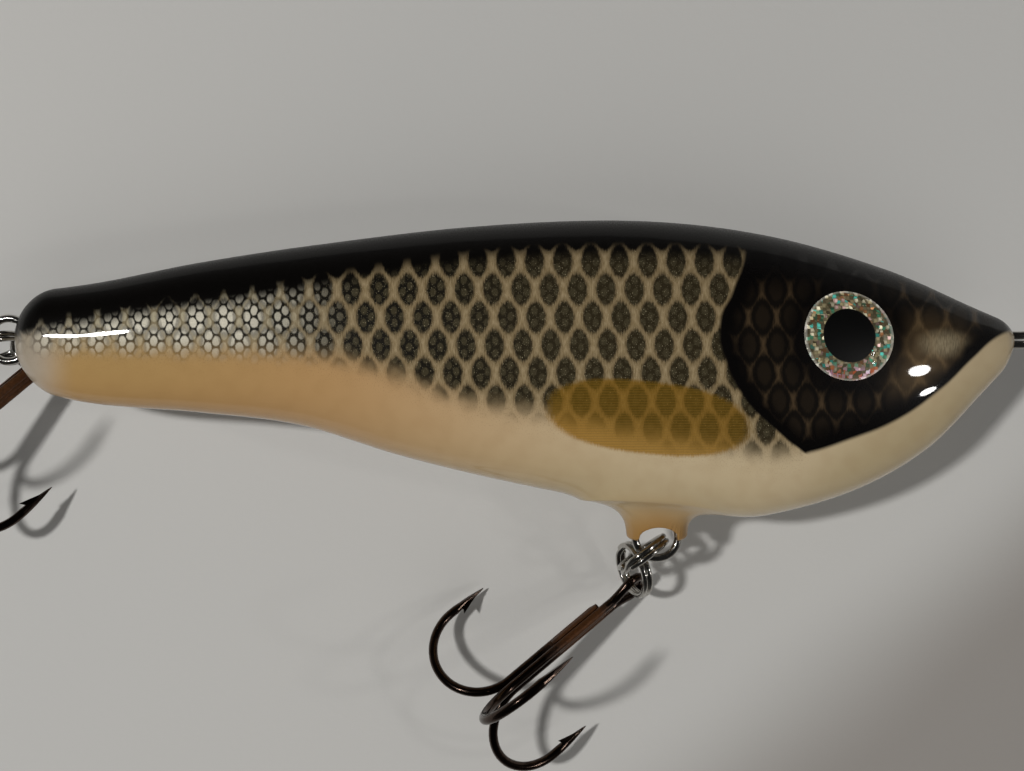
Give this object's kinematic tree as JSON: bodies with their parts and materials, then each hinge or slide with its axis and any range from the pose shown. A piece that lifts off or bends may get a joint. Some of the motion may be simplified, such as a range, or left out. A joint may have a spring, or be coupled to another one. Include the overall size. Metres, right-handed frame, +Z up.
{
  "type": "fishing lure",
  "caption": "Hard two-shell pike lure lying on its side, with wire eyes at nose, belly and tail, split rings in pairs and treble hooks.",
  "frame": {"origin": "middle of the bounding box's footprint, on the surface that the lure lies on", "axes": "+X towards the nose, +Y towards the back, +Z up from the surface, out of the right flank"},
  "size_m": [0.1844, 0.085, 0.0285],
  "materials": {
    "body_shell": "painted and printed fish pattern under a thick glossy clear coat",
    "wire_eye": "bright drawn stainless wire",
    "ballast": "plain turned steel",
    "eye_foil": "holographic glitter foil with a printed black pupil",
    "eye_lens": "clear domed resin",
    "split_ring": "bright stainless, polished",
    "hook": "black nickel",
    "braze": "heat-browned braze under black nickel"
  },
  "bodies": {
    "lure_body": {"body_shell_right": "body_shell", "body_shell_left": "body_shell", "nose_line_tie": "wire_eye", "belly_hanger": "wire_eye", "tail_hanger": "wire_eye", "ballast_front": "ballast", "ballast_middle": "ballast", "ballast_rear": "ballast", "eye_foil_right": "eye_foil", "eye_foil_left": "eye_foil", "eye_lens_right": "eye_lens", "eye_lens_left": "eye_lens"},
    "belly_ring_top": {"belly_ring_upper": "split_ring"},
    "belly_ring_bottom": {"belly_ring_lower": "split_ring"},
    "belly_hook": {"belly_hook_double": "hook", "belly_hook_single": "hook", "belly_hook_braze": "braze"},
    "tail_ring_top": {"tail_ring_upper": "split_ring"},
    "tail_ring_bottom": {"tail_ring_lower": "split_ring"},
    "tail_hook": {"tail_hook_double": "hook", "tail_hook_single": "hook", "tail_hook_braze": "braze"}
  },
  "joints": [
    {"name": "belly_ring_swing", "type": "hinge", "parent": "lure_body", "child": "belly_ring_top", "pos_m": [0.03113, -0.00575, 0.013], "axis": [0, 0, 1], "range_deg": [-16, 80]},
    {"name": "belly_ring_turn", "type": "hinge", "parent": "belly_ring_top", "child": "belly_ring_bottom", "pos_m": [0.02859, -0.00801, 0.0108], "axis": [-0.5863, 0.7981, -0.1392], "range_deg": [-60, 60]},
    {"name": "belly_hook_swing", "type": "hinge", "parent": "belly_ring_bottom", "child": "belly_hook", "pos_m": [0.02763, -0.0145, 0.004], "axis": [-0.4257, 0.5268, -0.7357], "range_deg": [-50, 35]},
    {"name": "tail_ring_swing", "type": "hinge", "parent": "lure_body", "child": "tail_ring_top", "pos_m": [-0.06778, 0.02527, 0.013], "axis": [0, 0, 1], "range_deg": [-60, 2]},
    {"name": "tail_ring_turn", "type": "hinge", "parent": "tail_ring_top", "child": "tail_ring_bottom", "pos_m": [-0.07052, 0.02346, 0.01064], "axis": [0.3893, -0.891, 0.2334], "range_deg": [-40, 0]},
    {"name": "tail_hook_swing", "type": "hinge", "parent": "tail_ring_bottom", "child": "tail_hook", "pos_m": [-0.06245, 0.02535, 0.0045], "axis": [0.5349, -0.8427, 0.0608], "range_deg": [0, 30]}
  ]
}
